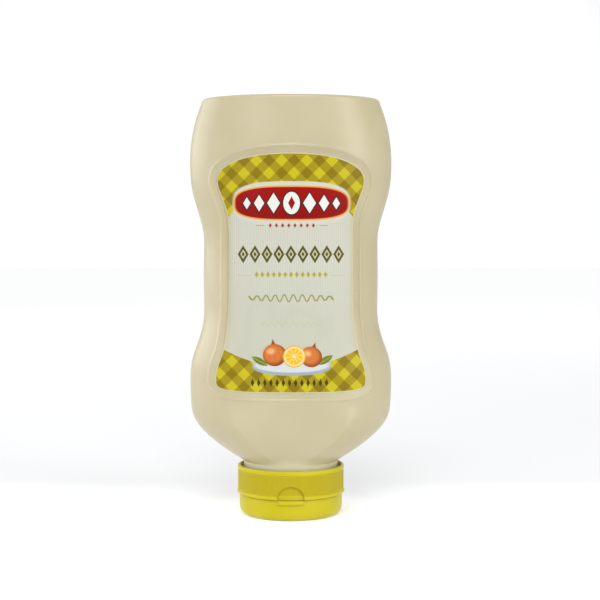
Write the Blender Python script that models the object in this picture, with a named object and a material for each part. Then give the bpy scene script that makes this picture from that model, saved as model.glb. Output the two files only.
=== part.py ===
"""An upside-down squeeze bottle of mayonnaise that stands on its flip-top cap.

The bottle is a flat oval with a waist. Front and back each have a shallow hourglass
panel with a film label in it. The cap is a skirt round the neck and a lid below it.
Metres, +Z up, front towards -Y, origin at the middle of the lid's flat underside.
"""
import math

import bmesh
import bpy
import numpy as np

MM = 0.001
GAP = 0.3 * MM
WELD_DISTANCE = 0.0001 * MM
SHARP_ANGLE = 35.0

# Bottle: height above the table against half of the width.
WIDTH_STATIONS = (
    (20.9, 18.3), (24.2, 23.7), (28.9, 30.2), (33.6, 35.1), (38.6, 38.0), (43.0, 38.7),
    (51.5, 39.0), (60.0, 38.2), (68.0, 35.5), (75.5, 33.8), (84.0, 33.6), (101.0, 33.6),
    (109.5, 33.9), (117.5, 36.0), (125.5, 38.1), (135.5, 38.9), (147.0, 37.9), (158.7, 34.4),
)
# Bottle: height above the table against half of the depth.
DEPTH_STATIONS = (
    (20.9, 18.2), (28.9, 20.3), (38.6, 21.6), (51.5, 22.0), (92.0, 20.8), (135.5, 22.0), (158.7, 20.6),
)
SHOULDER_SLOPE = 1.6
SHOULDER_DEPTH_SLOPE = 0.3
TOP_SLOPE = -0.4
TOP_DEPTH_SLOPE = -0.1
HEIGHT = 160.0 * MM
TOP_FILLET = 1.3 * MM
TOP_FILLET_STEPS = 4
BASE_RIM = 4.5 * MM
BASE_DISH_SLOPE = 2.0 * MM
BASE_DISH_DEPTH = 0.8 * MM
BODY_SIDES = 64
BODY_ROWS = 34

# Neck inside the cap.
NECK_RADIUS = 18.2 * MM
NECK_END = 10.0 * MM

# Label outline, seen from the front: heights, half widths and end curves.
LABEL_BOTTOM = 49.1 * MM
LABEL_CORNER_START = 53.9 * MM
LABEL_ARCH_START = 128.0 * MM
LABEL_TOP = 137.8 * MM
LABEL_ARCH_POWER = 2.3
LABEL_CORNER_POWER = 5.0
LABEL_SIDE_STATIONS = (
    (53.9, 28.2), (58.5, 27.3), (62.5, 25.8), (68.0, 24.5), (76.0, 23.5), (88.0, 23.15),
    (104.0, 23.05), (111.0, 23.1), (116.5, 23.9), (121.0, 25.4), (125.0, 26.9), (128.0, 27.5),
)
OUTLINE_STEPS = 24
LABEL_POINTS = 72
LABEL_RINGS = 5
LABEL_THICKNESS = 0.5 * MM

# Recessed panel that the label lies in.
PANEL_DEPTH = 1.2 * MM
PANEL_FLOOR_MARGIN = 1.2 * MM
PANEL_RIM_MARGIN = 3.2 * MM
CUTTER_REACH = 30.0 * MM

# Cap skirt, turned about the vertical axis.
SKIRT_TOP = 19.1 * MM
SKIRT_BOTTOM = 8.2 * MM
SKIRT_RADIUS = 20.5 * MM
RIM_BAND_RADIUS = 20.65 * MM
RIM_BAND_HEIGHT = 1.8 * MM
RIM_EDGE = 0.4 * MM
RIM_EDGE_STEPS = 3
RIM_INNER_RADIUS = 19.5 * MM
RIM_INNER_DEPTH = 2.6 * MM
FLANGE_RADIUS = 20.9 * MM
FLANGE_HEIGHT = 1.5 * MM
FLANGE_EDGE = 0.4 * MM
TURN_SIDES = 72

# Thumb scoop in the front of the skirt, a half disc above the lid's tab.
SCOOP_RADIUS = 5.25 * MM
SCOOP_FLOOR = 19.2 * MM
SCOOP_SIDES = 40

# Flip lid with its tab at the front and its hinge strap at the back.
LID_RADIUS = 19.93 * MM
LID_TOP = SKIRT_BOTTOM - GAP
LID_BOTTOM_FILLET = 3.2 * MM
LID_TOP_EDGE = 0.3 * MM
LID_TOP_EDGE_STEPS = 2
LID_FILLET_STEPS = 7
TAB_HALF_WIDTH = 5.2 * MM
TAB_HEIGHT = 1.5 * MM
STRAP_HALF_WIDTH = 4.5 * MM
STRAP_DROP = 2.0 * MM
STRAP_RISE = 2.5 * MM
STRAP_INNER = 19.4 * MM
SECTOR_STEPS = 6

CREAM = (0.66, 0.58, 0.37, 1.0)
FILM = (0.68, 0.68, 0.60, 1.0)
YELLOW = (0.60, 0.50, 0.04, 1.0)
CREAM_ROUGHNESS = 0.38
FILM_ROUGHNESS = 0.35
YELLOW_ROUGHNESS = 0.32


def clear_scene():
    for item in list(bpy.data.objects):
        bpy.data.objects.remove(item, do_unlink=True)


def material(name, colour, roughness):
    made = bpy.data.materials.new(name)
    made.use_nodes = True
    shader = made.node_tree.nodes["Principled BSDF"]
    shader.inputs["Base Color"].default_value = colour
    shader.inputs["Roughness"].default_value = roughness
    shader.inputs["Metallic"].default_value = 0.0
    return made


def smooth_curve(stations, start_slope, end_slope):
    """A cubic spline through stations given in millimetres; takes and returns metres."""
    places = np.array([place for place, _ in stations]) * MM
    values = np.array([value for _, value in stations]) * MM
    steps = np.diff(places)
    rises = np.diff(values) / steps
    count = len(places)
    system = np.zeros((count, count))
    wanted = np.zeros(count)
    system[0, 0] = 1.0
    wanted[0] = start_slope
    system[-1, -1] = 1.0
    wanted[-1] = end_slope
    for i in range(1, count - 1):
        system[i, i - 1] = steps[i]
        system[i, i] = 2.0 * (steps[i - 1] + steps[i])
        system[i, i + 1] = steps[i - 1]
        wanted[i] = 3.0 * (steps[i] * rises[i - 1] + steps[i - 1] * rises[i])
    slopes = np.linalg.solve(system, wanted)

    def value_at(place):
        i = int(np.clip(np.searchsorted(places, place) - 1, 0, count - 2))
        t = (place - places[i]) / steps[i]
        start = (1.0 + 2.0 * t) * (1.0 - t) ** 2 * values[i] + t * (1.0 - t) ** 2 * steps[i] * slopes[i]
        end = t * t * (3.0 - 2.0 * t) * values[i + 1] - t * t * (1.0 - t) * steps[i] * slopes[i + 1]
        return start + end

    return value_at


half_width = smooth_curve(WIDTH_STATIONS, SHOULDER_SLOPE, TOP_SLOPE)
half_depth = smooth_curve(DEPTH_STATIONS, SHOULDER_DEPTH_SLOPE, TOP_DEPTH_SLOPE)
label_side = smooth_curve(LABEL_SIDE_STATIONS, 0.0, 0.0)


def front_point(x, z, inset):
    """The point of the bottle's front at x and z, sunk into the wall by the inset."""
    width = half_width(z) - inset
    depth = half_depth(z) - inset
    return (x, -depth * math.sqrt(max(1.0 - (x / width) ** 2, 0.0)), z)


def end_curve(half, reach, power, steps):
    """A quarter of a rounded end: offsets across and along, from the side to the middle."""
    points = []
    for i in range(1, steps + 1):
        angle = 0.5 * math.pi * i / steps
        across = half * max(math.cos(angle), 0.0) ** (2.0 / power)
        along = reach * math.sin(angle) ** (2.0 / power)
        points.append((across, along))
    return points


def label_half_outline():
    """The label's right-hand outline, from the middle of the bottom to the top of the arch."""
    side_bottom = label_side(LABEL_CORNER_START)
    side_top = label_side(LABEL_ARCH_START)
    corner = end_curve(side_bottom, LABEL_CORNER_START - LABEL_BOTTOM, LABEL_CORNER_POWER, OUTLINE_STEPS)
    arch = end_curve(side_top, LABEL_TOP - LABEL_ARCH_START, LABEL_ARCH_POWER, OUTLINE_STEPS)
    points = [(x, LABEL_CORNER_START - drop) for x, drop in reversed(corner)]
    for z in np.linspace(LABEL_CORNER_START, LABEL_ARCH_START, 2 * OUTLINE_STEPS):
        points.append((label_side(z), z))
    points += [(x, LABEL_ARCH_START + rise) for x, rise in arch]
    return points


def even_points(points, count):
    """The closed outline again, as a number of points at even distances along it."""
    loop = np.array(points + points[:1])
    lengths = np.hypot(*np.diff(loop, axis=0).T)
    along = np.concatenate(([0.0], np.cumsum(lengths)))
    wanted = np.linspace(0.0, along[-1], count, endpoint=False)
    return np.column_stack((np.interp(wanted, along, loop[:, 0]), np.interp(wanted, along, loop[:, 1])))


def label_outline(margin):
    """The label's closed outline as (x, z) rows, moved outwards by the margin."""
    right = label_half_outline()
    left = [(-x, z) for x, z in reversed(right[1:-1])]
    loop = even_points(right + left, LABEL_POINTS)
    along = np.roll(loop, -1, axis=0) - np.roll(loop, 1, axis=0)
    outwards = np.column_stack((along[:, 1], -along[:, 0])) / np.hypot(along[:, 0], along[:, 1])[:, None]
    return loop + margin * outwards


def solid(name, points, faces, made_of):
    mesh = bpy.data.meshes.new(name)
    mesh.from_pydata(points, [], faces)
    work = bmesh.new()
    work.from_mesh(mesh)
    bmesh.ops.remove_doubles(work, verts=work.verts, dist=WELD_DISTANCE)
    bmesh.ops.recalc_face_normals(work, faces=work.faces)
    work.to_mesh(mesh)
    work.free()
    mesh.shade_smooth()
    mesh.set_sharp_from_angle(angle=math.radians(SHARP_ANGLE))
    if made_of is not None:
        mesh.materials.append(made_of)
    made = bpy.data.objects.new(name, mesh)
    bpy.context.scene.collection.objects.link(made)
    return made


def joined_rings(rings, start_cap, end_cap):
    """Points and faces of a skin over rings of equal length, with a flat face at an end."""
    size = len(rings[0])
    points = [tuple(point) for ring in rings for point in ring]
    faces = []
    for row in range(len(rings) - 1):
        for i in range(size):
            j = (i + 1) % size
            low = row * size
            high = low + size
            faces.append((low + i, low + j, high + j, high + i))
    if start_cap:
        faces.append(tuple(reversed(range(size))))
    if end_cap:
        last = (len(rings) - 1) * size
        faces.append(tuple(range(last, last + size)))
    return points, faces


def oval_ring(width, depth, z):
    ring = []
    for i in range(BODY_SIDES):
        angle = 2.0 * math.pi * i / BODY_SIDES
        ring.append((width * math.sin(angle), -depth * math.cos(angle), z))
    return ring


def bottle_rings():
    """Neck end, neck, shoulder, body, rounded top edge and the dished base on top."""
    low = WIDTH_STATIONS[0][0] * MM
    high = WIDTH_STATIONS[-1][0] * MM
    rings = [oval_ring(NECK_RADIUS, NECK_RADIUS, NECK_END)]
    rings.append(oval_ring(NECK_RADIUS, NECK_RADIUS, low - GAP))
    for i in range(BODY_ROWS + 1):
        z = low + (high - low) * i / BODY_ROWS
        rings.append(oval_ring(half_width(z), half_depth(z), z))
    width = half_width(high)
    depth = half_depth(high)
    for i in range(1, TOP_FILLET_STEPS + 1):
        angle = 0.5 * math.pi * i / TOP_FILLET_STEPS
        inset = TOP_FILLET * (1.0 - math.cos(angle))
        rise = (HEIGHT - high) * math.sin(angle)
        rings.append(oval_ring(width - inset, depth - inset, high + rise))
    for inset, drop in ((BASE_RIM, 0.0), (BASE_RIM + BASE_DISH_SLOPE, BASE_DISH_DEPTH)):
        rings.append(oval_ring(width - inset, depth - inset, HEIGHT - drop))
    return rings


def panel_cutter(name, side):
    """The recess in front (side -1) or at the back (side 1) of the bottle."""
    centre = 0.5 * (LABEL_BOTTOM + LABEL_TOP)
    floor = label_outline(PANEL_FLOOR_MARGIN)
    slope = (PANEL_RIM_MARGIN - PANEL_FLOOR_MARGIN) / PANEL_DEPTH
    rings = []
    for i in range(1, LABEL_RINGS + 1):
        share = i / LABEL_RINGS
        rings.append([front_point(x * share, centre + (z - centre) * share, PANEL_DEPTH) for x, z in floor])
    rim = label_outline(PANEL_RIM_MARGIN + slope * PANEL_DEPTH)
    rings.append([front_point(x, z, -PANEL_DEPTH) for x, z in rim])
    rings.append([(x, -CUTTER_REACH, z) for x, z in rim])
    rings = [[(x, -side * y, z) for x, y, z in ring] for ring in rings]
    points, faces = joined_rings(rings, False, True)
    points.append((0.0, side * (half_depth(centre) - PANEL_DEPTH), centre))
    hub = len(points) - 1
    for i in range(LABEL_POINTS):
        faces.append((hub, (i + 1) % LABEL_POINTS, i))
    return as_cutter(solid(name, points, faces, None))


def as_cutter(item):
    item.hide_render = True
    item.display_type = "WIRE"
    return item


def boolean(target, other, operation):
    change = target.modifiers.new(other.name, "BOOLEAN")
    change.operation = operation
    change.solver = "EXACT"
    change.object = other


def build_bottle(made_of):
    points, faces = joined_rings(bottle_rings(), True, True)
    bottle = solid("bottle", points, faces, made_of)
    boolean(bottle, panel_cutter("front_panel_cutter", -1.0), "DIFFERENCE")
    boolean(bottle, panel_cutter("back_panel_cutter", 1.0), "DIFFERENCE")
    return bottle


def build_label(name, side, made_of):
    """A thin curved film, clear of the panel's floor by the gap."""
    centre = 0.5 * (LABEL_BOTTOM + LABEL_TOP)
    outline = label_outline(0.0)
    inner = PANEL_DEPTH - GAP
    outer = inner - LABEL_THICKNESS
    shares = [i / LABEL_RINGS for i in range(1, LABEL_RINGS + 1)]
    rings = []
    for inset, order in ((inner, shares), (outer, shares[::-1])):
        for share in order:
            ring = [front_point(x * share, centre + (z - centre) * share, inset) for x, z in outline]
            rings.append([(x, -side * y, z) for x, y, z in ring])
    points, faces = joined_rings(rings, False, False)
    last = (len(rings) - 1) * LABEL_POINTS
    for inset, first, step in ((inner, 0, 1), (outer, last, -1)):
        points.append((0.0, side * (half_depth(centre) - inset), centre))
        hub = len(points) - 1
        for i in range(LABEL_POINTS):
            j = (i + 1) % LABEL_POINTS
            faces.append((hub, first + j, first + i)[::step])
    return solid(name, points, faces, made_of)


def arc(centre_radius, centre_z, radius, start, end, steps):
    """Points (radius, height) along an arc between two angles in degrees."""
    points = []
    for i in range(steps + 1):
        angle = math.radians(start + (end - start) * i / steps)
        points.append((centre_radius + radius * math.cos(angle), centre_z + radius * math.sin(angle)))
    return points


def turned(name, profile, made_of):
    """A solid turned about the vertical axis; the profile starts and ends on the axis."""
    rings = []
    for radius, z in profile[1:-1]:
        ring = []
        for i in range(TURN_SIDES):
            angle = 2.0 * math.pi * i / TURN_SIDES
            ring.append((radius * math.sin(angle), -radius * math.cos(angle), z))
        rings.append(ring)
    points, faces = joined_rings(rings, True, True)
    return solid(name, points, faces, made_of)


def sector_block(name, side, radius, half, inner, low, high):
    """A block with a curved outer face at the front (side -1) or back (side 1)."""
    reach = math.asin(half / radius)
    outline = [(-half, side * inner)]
    for i in range(SECTOR_STEPS + 1):
        angle = -reach + 2.0 * reach * i / SECTOR_STEPS
        outline.append((radius * math.sin(angle), side * radius * math.cos(angle)))
    outline.append((half, side * inner))
    rings = [[(x, y, z) for x, y in outline] for z in (low, high)]
    points, faces = joined_rings(rings, True, True)
    return as_cutter(solid(name, points, faces, None))


def skirt_profile():
    band_low = SKIRT_TOP - RIM_BAND_HEIGHT
    flange_top = SKIRT_BOTTOM + FLANGE_HEIGHT
    bore = NECK_RADIUS + GAP
    profile = [(0.0, SKIRT_BOTTOM), (FLANGE_RADIUS - FLANGE_EDGE, SKIRT_BOTTOM)]
    profile.append((FLANGE_RADIUS, SKIRT_BOTTOM + FLANGE_EDGE))
    profile.append((FLANGE_RADIUS, flange_top - FLANGE_EDGE))
    profile.append((SKIRT_RADIUS, flange_top))
    profile.append((SKIRT_RADIUS, band_low - (RIM_BAND_RADIUS - SKIRT_RADIUS)))
    profile.append((RIM_BAND_RADIUS, band_low))
    profile += arc(RIM_BAND_RADIUS - RIM_EDGE, SKIRT_TOP - RIM_EDGE, RIM_EDGE, 0.0, 90.0, RIM_EDGE_STEPS)
    profile.append((RIM_INNER_RADIUS, SKIRT_TOP))
    profile.append((RIM_INNER_RADIUS, SKIRT_TOP - RIM_INNER_DEPTH))
    profile.append((bore, SKIRT_TOP - RIM_INNER_DEPTH))
    profile.append((bore, NECK_END - GAP))
    profile.append((0.0, NECK_END - GAP))
    return profile


def build_skirt(made_of):
    skirt = turned("cap_skirt", skirt_profile(), made_of)
    boolean(skirt, scoop_cutter(), "DIFFERENCE")
    notch_low = SKIRT_BOTTOM - GAP
    notch_high = SKIRT_BOTTOM + STRAP_RISE + GAP
    notch = sector_block("strap_notch_cutter", 1.0, FLANGE_RADIUS + GAP, STRAP_HALF_WIDTH + GAP,
                         STRAP_INNER - GAP, notch_low, notch_high)
    boolean(skirt, notch, "DIFFERENCE")
    return skirt


def scoop_cutter():
    """A disc on edge, centred on the parting line, from the scoop's floor outwards."""
    rings = []
    for y in (-SCOOP_FLOOR, -FLANGE_RADIUS - GAP):
        ring = []
        for i in range(SCOOP_SIDES):
            angle = 2.0 * math.pi * i / SCOOP_SIDES
            ring.append((SCOOP_RADIUS * math.cos(angle), y, SKIRT_BOTTOM + SCOOP_RADIUS * math.sin(angle)))
        rings.append(ring)
    points, faces = joined_rings(rings, True, True)
    return as_cutter(solid("scoop_cutter", points, faces, None))


def build_lid(made_of):
    fillet_centre = LID_RADIUS - LID_BOTTOM_FILLET
    profile = [(0.0, 0.0)]
    profile += arc(fillet_centre, LID_BOTTOM_FILLET, LID_BOTTOM_FILLET, -90.0, 0.0, LID_FILLET_STEPS)
    profile += arc(LID_RADIUS - LID_TOP_EDGE, LID_TOP - LID_TOP_EDGE, LID_TOP_EDGE, 0.0, 90.0, LID_TOP_EDGE_STEPS)
    profile.append((0.0, LID_TOP))
    lid = turned("flip_lid", profile, made_of)
    tab = sector_block("lid_tab_guide", -1.0, FLANGE_RADIUS, TAB_HALF_WIDTH,
                       LID_RADIUS - LID_BOTTOM_FILLET, LID_TOP - TAB_HEIGHT, LID_TOP)
    strap = sector_block("lid_strap_guide", 1.0, FLANGE_RADIUS, STRAP_HALF_WIDTH,
                         STRAP_INNER, LID_TOP - STRAP_DROP, SKIRT_BOTTOM + STRAP_RISE)
    boolean(lid, tab, "UNION")
    boolean(lid, strap, "UNION")
    return lid


def main():
    clear_scene()
    cream = material("cream_plastic", CREAM, CREAM_ROUGHNESS)
    film = material("label_film", FILM, FILM_ROUGHNESS)
    yellow = material("yellow_plastic", YELLOW, YELLOW_ROUGHNESS)
    build_bottle(cream)
    build_label("label_front", -1.0, film)
    build_label("label_back", 1.0, film)
    build_skirt(yellow)
    build_lid(yellow)


main()
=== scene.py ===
"""Looks of the squeeze bottle: fine skin, printed film labels, moulded cap, camera and light."""
import math

import bmesh
import bpy
import numpy as np
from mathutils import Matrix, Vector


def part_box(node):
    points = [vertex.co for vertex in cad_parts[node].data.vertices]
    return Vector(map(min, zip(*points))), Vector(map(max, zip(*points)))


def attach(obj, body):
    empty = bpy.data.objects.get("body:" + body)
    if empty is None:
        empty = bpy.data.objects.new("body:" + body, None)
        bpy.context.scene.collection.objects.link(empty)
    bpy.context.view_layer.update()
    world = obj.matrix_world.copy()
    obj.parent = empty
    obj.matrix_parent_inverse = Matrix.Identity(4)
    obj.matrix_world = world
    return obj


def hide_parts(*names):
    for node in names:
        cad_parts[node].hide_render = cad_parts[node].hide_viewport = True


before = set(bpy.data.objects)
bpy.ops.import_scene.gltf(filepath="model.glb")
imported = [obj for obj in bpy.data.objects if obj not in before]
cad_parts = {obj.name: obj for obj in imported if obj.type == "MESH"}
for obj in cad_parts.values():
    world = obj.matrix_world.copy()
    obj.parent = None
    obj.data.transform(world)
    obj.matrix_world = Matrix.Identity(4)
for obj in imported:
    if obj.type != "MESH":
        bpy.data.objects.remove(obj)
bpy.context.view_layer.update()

MM = 0.001

# Bottle: height against half width, and height against half depth, in millimetres.
WIDTH_STATIONS = (
    (20.9, 18.3), (24.2, 23.7), (28.9, 30.2), (33.6, 35.1), (38.6, 38.0), (43.0, 38.7),
    (51.5, 39.0), (60.0, 38.2), (68.0, 35.5), (75.5, 33.8), (84.0, 33.6), (101.0, 33.6),
    (109.5, 33.9), (117.5, 36.0), (125.5, 38.1), (135.5, 38.9), (147.0, 37.9), (158.7, 34.4),
)
DEPTH_STATIONS = (
    (20.9, 18.2), (23.6, 18.7), (28.9, 20.3), (38.6, 21.6), (51.5, 22.0), (92.0, 20.8), (135.5, 22.0),
    (158.7, 20.6),
)
SHOULDER_SLOPE = 1.6
SHOULDER_DEPTH_SLOPE = 0.03
TOP_SLOPE = -0.4
TOP_DEPTH_SLOPE = -0.1
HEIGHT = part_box("bottle")[1][2]
TOP_FILLET = 1.3 * MM
TOP_FILLET_STEPS = 8
BASE_RIM = 4.5 * MM
BASE_DISH_SLOPE = 2.0 * MM
BASE_DISH_DEPTH = 0.8 * MM
BASE_DISH_SHARES = (0.0, 0.06, 0.25, 0.5, 0.75, 0.94, 1.0)
BASE_FLAT_SHARES = (0.8, 0.6, 0.4, 0.2)
NECK_RADIUS = 18.2 * MM
NECK_VISIBLE_END = 16.6 * MM
NECK_EDGE = (0.35 * MM, 0.1 * MM)
# The cream turns paler between these heights: partly the neck's own tone, partly painted light lifting the
# shade under the shoulder.
NECK_PALE_AND_LIT = (20.9, 23.8)

# Label outline: heights, end curves, and height against half width in millimetres.
LABEL_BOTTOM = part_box("label_front")[0][2]
LABEL_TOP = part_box("label_front")[1][2]
LABEL_CORNER_START = 53.9 * MM
LABEL_ARCH_START = 128.0 * MM
LABEL_ARCH_POWER = 2.3
LABEL_CORNER_POWER = 5.0
LABEL_SIDE_STATIONS = (
    (53.9, 28.2), (58.5, 27.3), (62.5, 25.8), (68.0, 24.5), (76.0, 23.5), (88.0, 23.15),
    (104.0, 23.05), (111.0, 23.1), (116.5, 23.9), (121.0, 25.4), (125.0, 26.9), (128.0, 27.5),
)
OUTLINE_STEPS = 60
OUTLINE_POINTS = 288

# Recess round the label.
PANEL_DEPTH_STATIONS = ((46.0, 0.3), (60.0, 0.7), (76.0, 1.45), (118.0, 1.5), (130.0, 1.5), (141.0, 1.5))
PANEL_FLOOR_STATIONS = ((46.0, 0.5), (60.0, 0.7), (76.0, 0.8), (118.0, 0.8), (130.0, 0.6), (141.0, 0.5))
PANEL_RIM_MARGIN = 3.1 * MM
PANEL_SOFTNESS = 0.35
LIP_HEIGHT = 0.42 * MM
LIP_WIDTH = 0.34 * MM

# Flatter front facet on the shoulder: height against where its creases lie, in millimetres.
CREASE_STATIONS = ((20.9, 5.0), (24.7, 9.2), (30.0, 15.5), (37.0, 21.0), (45.0, 24.4))
CREASE_SOFTNESS = 0.6 * MM
FACET_WIDTH = 64.0 * MM
FACET_FALL = 1.6
FACET_FADE_LOW = 4.0 * MM
FACET_FADE_HIGH = 12.0 * MM

# Printed film, and the mould's parting line.
FILM_MARGIN = 0.45 * MM
FILM_THICKNESS = 0.08 * MM
FILM_FILL = 0.9
FILM_RINGS = 22
FILM_BORDER_SHARES = (0.33, 0.66, 1.0)
SEAM_HEIGHT = 0.07 * MM
SEAM_WIDTH = 0.22 * MM
SEAM_FADE = 4.0 * MM

# Grid of the skin: rows as (from, to, step) in millimetres, columns of a quarter turn, how far
# the close columns reach past the label's edge, and the last angles before the seam in radians.
SKIN_ROWS = (
    (20.9, 44.0, 0.7), (44.0, 56.0, 0.35), (56.0, 126.0, 0.9), (126.0, 143.0, 0.35), (143.0, 158.7, 0.8),
)
FLOOR_COLUMNS = 27
WALL_COLUMNS = 26
FLANK_COLUMNS = 12
WALL_SPAN = (-1.0 * MM, 4.2 * MM)
SEAM_ANGLES = (0.03, 0.018, 0.009, 0.0)

# Cap, turned about the vertical axis.
SKIRT_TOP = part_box("cap_skirt")[1][2]
SKIRT_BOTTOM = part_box("cap_skirt")[0][2]
SKIRT_RADIUS = 20.5 * MM
SKIRT_FLOOR_INSET = 2.0 * MM
RIM_BAND_RADIUS = 20.65 * MM
RIM_BAND_HEIGHT = 1.8 * MM
RIM_ROUND = 0.6 * MM
BAND_ROUND = 0.4 * MM
BAND_ROUND_RISE = 0.45 * MM
RIM_INNER_RADIUS = 19.5 * MM
RIM_INNER_ROUND = 0.4 * MM
RIM_INNER_DEPTH = 1.5 * MM
NECK_GAP = 0.1 * MM
FLANGE_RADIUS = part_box("cap_skirt")[1][0]
FLANGE_HEIGHT = 1.5 * MM
FLANGE_BEAD = 0.5 * FLANGE_HEIGHT - 0.05 * MM
SCOOP_RADIUS = 5.25 * MM
SCOOP_FLOOR_RADIUS = 19.75 * MM
SCOOP_START = -0.5 * SKIRT_RADIUS
SCOOP_SIDES = 96
LID_RADIUS = 19.93 * MM
LID_TOP = SKIRT_BOTTOM - 0.12 * MM
LID_BOTTOM_FILLET = 3.2 * MM
LID_TOP_FILLET = 0.3 * MM
TAB_HALF_WIDTH = 4.9 * MM
TAB_HEIGHT = 1.5 * MM
TAB_INNER = 15.0 * MM
STRAP_HALF_WIDTH = 4.5 * MM
STRAP_DROP = 2.0 * MM
STRAP_RISE = 2.5 * MM
STRAP_INNER = 19.4 * MM
NOTCH_GAP = 0.3 * MM
BLOCK_ROUND = 0.4 * MM
BLOCK_STEPS = 12
EDGE_SEGMENTS = 4
EDGE_ANGLE = math.radians(40.0)
SHARP_ANGLE = math.radians(33.0)
LID_SIDES = 256
RIB_COUNT = 172
RIB_SAMPLES = 6
RIB_HEIGHT = 0.06 * MM
RIB_START = SKIRT_BOTTOM + FLANGE_HEIGHT + 0.6 * MM
RIB_END = SKIRT_TOP - RIM_BAND_HEIGHT - 0.35 * MM
RIB_ENDS = (0.1 * MM, 0.05 * MM)
GROOVE = 0.12 * MM
GROOVE_LOW = (0.02 * MM, 0.14 * MM, 0.30 * MM)
GROOVE_HIGH = (-0.05 * MM, 0.10 * MM)

# Camera: the photograph's viewing angle.
SENSOR = 36.0
PHOTO_SIZE = 600.0
CAMERA_DISTANCE = 0.490
CAMERA_HEIGHT = 0.0992
PIXELS_PER_METRE = 2576.0
EYE_ROW = 257.7
AXIS_COLUMN = 290.8

# Studio floor: distances in millimetres, spans of direction as y over distance, and levels.
FLOOR_REACH = 12.0
# The floor gives off light of its own, a painted glow that is strongest round the cap and lifts the shade
# there.
FLOOR_GLOW = 0.07
FLOOR_GLOW_NEAR = 0.24
GLOW_REACH = (19.0, 48.0)
GLOW_COLOUR = (0.84, 0.90, 1.0, 1.0)
FLOOR_NEAR = (0.970, 0.978, 1.0, 1.0)
# Painted shadow: the floor's colour is darker behind the bottle.
FLOOR_PAINTED_SHADOW = (0.800, 0.802, 0.808, 1.0)
PAINTED_SHADOW_SPAN = (20.0, 75.0)
OUTER_SPAN = (150.0, 1500.0)
# Far floor levels by direction: painted shade matching the dimmer surroundings.
FLOOR_FRONT = 0.45
FLOOR_CORNER = 0.80
CORNER_SPAN = (-0.95, -0.86)
FLOOR_SIDE = 0.69
SIDE_SPAN = (-0.5, 0.4)
FLOOR_BACK = (0.960, 0.975)
BACK_SPAN = (0.75, 0.93)

# Surroundings: levels by direction from front (-1) to back (1), and a dimmer right side.
WHITE = 1.02
STUDIO_STOPS = (
    (-1.0, 0.50), (-0.95, 0.50), (-0.86, 0.84), (-0.20, 0.84), (0.40, 0.66), (0.925, 0.66), (0.962, 1.0),
)
DIM_RIGHT = 0.80
DIM_SPAN = (0.35, 0.85)

# Lights: softboxes as name, place, size in metres and power in watts; and a broad sun.
LIGHT_TARGET = (0.0, 0.0, 0.09)
SOFTBOXES = (
    ("wide_left", (-1.14, 0.37, 0.48), (1.10, 0.80), 5.9),
    ("strip_left", (-0.58, -1.09, 0.45), (0.30, 0.70), 1.1),
    ("strip_right", (0.96, -0.77, 0.45), (0.45, 0.70), 4.05),
)
SUN_STRENGTH = 0.9
SUN_ANGLE = math.radians(30.0)
SUN_PLACE = (-0.06, -1.0, 1.0)


def smooth_curve(stations, start_slope, end_slope):
    """A cubic spline through stations given in millimetres; takes and returns metres."""
    places = np.array([place for place, _ in stations]) * MM
    values = np.array([value for _, value in stations]) * MM
    steps = np.diff(places)
    rises = np.diff(values) / steps
    count = len(places)
    system = np.zeros((count, count))
    wanted = np.zeros(count)
    system[0, 0] = 1.0
    wanted[0] = start_slope
    system[-1, -1] = 1.0
    wanted[-1] = end_slope
    for i in range(1, count - 1):
        system[i, i - 1] = steps[i]
        system[i, i] = 2.0 * (steps[i - 1] + steps[i])
        system[i, i + 1] = steps[i - 1]
        wanted[i] = 3.0 * (steps[i] * rises[i - 1] + steps[i - 1] * rises[i])
    slopes = np.linalg.solve(system, wanted)

    def value_at(place):
        i = np.clip(np.searchsorted(places, place) - 1, 0, count - 2)
        t = (place - places[i]) / steps[i]
        start = (1.0 + 2.0 * t) * (1.0 - t) ** 2 * values[i] + t * (1.0 - t) ** 2 * steps[i] * slopes[i]
        end = t * t * (3.0 - 2.0 * t) * values[i + 1] - t * t * (1.0 - t) * steps[i] * slopes[i + 1]
        return start + end

    return value_at


half_width = smooth_curve(WIDTH_STATIONS, SHOULDER_SLOPE, TOP_SLOPE)
half_depth = smooth_curve(DEPTH_STATIONS, SHOULDER_DEPTH_SLOPE, TOP_DEPTH_SLOPE)
label_side = smooth_curve(LABEL_SIDE_STATIONS, 0.0, 0.0)
panel_depth = smooth_curve(PANEL_DEPTH_STATIONS, 0.0, 0.0)
panel_floor = smooth_curve(PANEL_FLOOR_STATIONS, 0.0, 0.0)
crease_line = smooth_curve(CREASE_STATIONS, 1.2, 0.3)


def front_y(x, z, inset):
    """Where the bottle's front lies at x and z, sunk into the wall by the inset."""
    width = half_width(z) - inset
    depth = half_depth(z) - inset
    return -depth * np.sqrt(np.maximum(1.0 - (x / width) ** 2, 0.0))


def end_curve(half, reach, power):
    """A quarter of a rounded end: offsets across and along, from the side to the middle."""
    angle = 0.5 * math.pi * np.arange(1, OUTLINE_STEPS + 1) / OUTLINE_STEPS
    across = half * np.maximum(np.cos(angle), 0.0) ** (2.0 / power)
    along = reach * np.sin(angle) ** (2.0 / power)
    return across, along


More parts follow.
